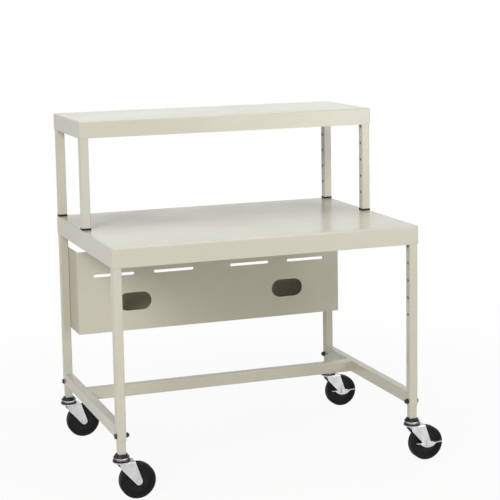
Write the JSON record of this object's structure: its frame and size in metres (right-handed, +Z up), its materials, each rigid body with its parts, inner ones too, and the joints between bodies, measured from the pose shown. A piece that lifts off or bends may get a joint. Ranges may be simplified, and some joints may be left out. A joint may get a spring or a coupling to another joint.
{
  "type": "mobile computer workstation",
  "caption": "Rolling steel desk on square legs with a raised shelf, a hanging cable box and swivel casters, some with foot brakes.",
  "frame": {"origin": "centre of the desk top's upper face", "axes": "+X to the right of a person at the desk, -Y the front, +Z up"},
  "size_m": [1.0035, 0.6908, 1.022],
  "materials": {
    "paint": "semi-gloss powder coat, warm light grey",
    "zinc": "zinc-plated steel",
    "black_steel": "black oxide steel",
    "black_plastic": "moulded black plastic",
    "hub_plastic": "moulded black nylon",
    "tyre_rubber": "black rubber"
  },
  "bodies": {
    "cart": {"desk_top": "paint", "desk_stiffeners": "paint", "desk_brackets": "paint", "front_left_leg": "paint", "front_right_leg": "paint", "rear_left_leg": "paint", "rear_right_leg": "paint", "left_side_rail": "paint", "right_side_rail": "paint", "rear_stretcher": "paint", "front_left_leg_extension": "paint", "front_right_leg_extension": "paint", "rear_left_leg_extension": "paint", "rear_right_leg_extension": "paint", "cable_box_panel": "paint", "cable_box_tray": "paint", "riser_shelf": "paint", "riser_brackets": "paint", "front_left_riser_post": "paint", "front_right_riser_post": "paint", "rear_left_riser_post": "paint", "rear_right_riser_post": "paint", "leg_bolts": "black_steel", "leg_cap_nuts": "black_steel", "frame_screws": "zinc", "riser_feet": "black_plastic", "riser_studs": "zinc", "riser_nuts": "zinc", "caster_sockets": "black_plastic", "front_left_caster_stem": "zinc", "front_right_caster_stem": "zinc", "rear_left_caster_stem": "zinc", "rear_right_caster_stem": "zinc"},
    "front_left_swivel": {"front_left_caster_fork": "zinc", "front_left_swivel_balls": "zinc", "front_left_dust_ring": "black_plastic", "front_left_axle": "zinc"},
    "front_left_wheel": {"front_left_wheel_hub": "hub_plastic", "front_left_tyre": "tyre_rubber"},
    "front_right_swivel": {"front_right_caster_fork": "zinc", "front_right_swivel_balls": "zinc", "front_right_dust_ring": "black_plastic", "front_right_axle": "zinc"},
    "front_right_wheel": {"front_right_wheel_hub": "hub_plastic", "front_right_tyre": "tyre_rubber"},
    "front_right_brake": {"front_right_brake_lever": "zinc"},
    "rear_left_swivel": {"rear_left_caster_fork": "zinc", "rear_left_swivel_balls": "zinc", "rear_left_dust_ring": "black_plastic", "rear_left_axle": "zinc"},
    "rear_left_wheel": {"rear_left_wheel_hub": "hub_plastic", "rear_left_tyre": "tyre_rubber"},
    "rear_right_swivel": {"rear_right_caster_fork": "zinc", "rear_right_swivel_balls": "zinc", "rear_right_dust_ring": "black_plastic", "rear_right_axle": "zinc"},
    "rear_right_wheel": {"rear_right_wheel_hub": "hub_plastic", "rear_right_tyre": "tyre_rubber"},
    "rear_right_brake": {"rear_right_brake_lever": "zinc"}
  },
  "joints": [
    {"name": "front_left_swivel_turn", "type": "hinge", "parent": "cart", "child": "front_left_swivel", "pos_m": [-0.4425, -0.3155, -0.654], "axis": [0, 0, 1], "continuous": true},
    {"name": "front_left_wheel_spin", "type": "hinge", "parent": "front_left_swivel", "child": "front_left_wheel", "pos_m": [-0.3995, -0.3155, -0.654], "axis": [0, 1, 0], "continuous": true},
    {"name": "front_right_swivel_turn", "type": "hinge", "parent": "cart", "child": "front_right_swivel", "pos_m": [0.4425, -0.3155, -0.654], "axis": [0, 0, 1], "continuous": true},
    {"name": "front_right_wheel_spin", "type": "hinge", "parent": "front_right_swivel", "child": "front_right_wheel", "pos_m": [0.4855, -0.3155, -0.654], "axis": [0, 1, 0], "continuous": true},
    {"name": "front_right_brake_turn", "type": "hinge", "parent": "front_right_swivel", "child": "front_right_brake", "pos_m": [0.4855, -0.3155, -0.654], "axis": [0, 1, 0], "range_deg": [0, 28]},
    {"name": "rear_left_swivel_turn", "type": "hinge", "parent": "cart", "child": "rear_left_swivel", "pos_m": [-0.4425, 0.3155, -0.654], "axis": [0, 0, 1], "continuous": true},
    {"name": "rear_left_wheel_spin", "type": "hinge", "parent": "rear_left_swivel", "child": "rear_left_wheel", "pos_m": [-0.3995, 0.3155, -0.654], "axis": [0, 1, 0], "continuous": true},
    {"name": "rear_right_swivel_turn", "type": "hinge", "parent": "cart", "child": "rear_right_swivel", "pos_m": [0.4425, 0.3155, -0.654], "axis": [0, 0, 1], "continuous": true},
    {"name": "rear_right_wheel_spin", "type": "hinge", "parent": "rear_right_swivel", "child": "rear_right_wheel", "pos_m": [0.4855, 0.3155, -0.654], "axis": [0, 1, 0], "continuous": true},
    {"name": "rear_right_brake_turn", "type": "hinge", "parent": "rear_right_swivel", "child": "rear_right_brake", "pos_m": [0.4855, 0.3155, -0.654], "axis": [0, 1, 0], "range_deg": [0, 28]}
  ]
}
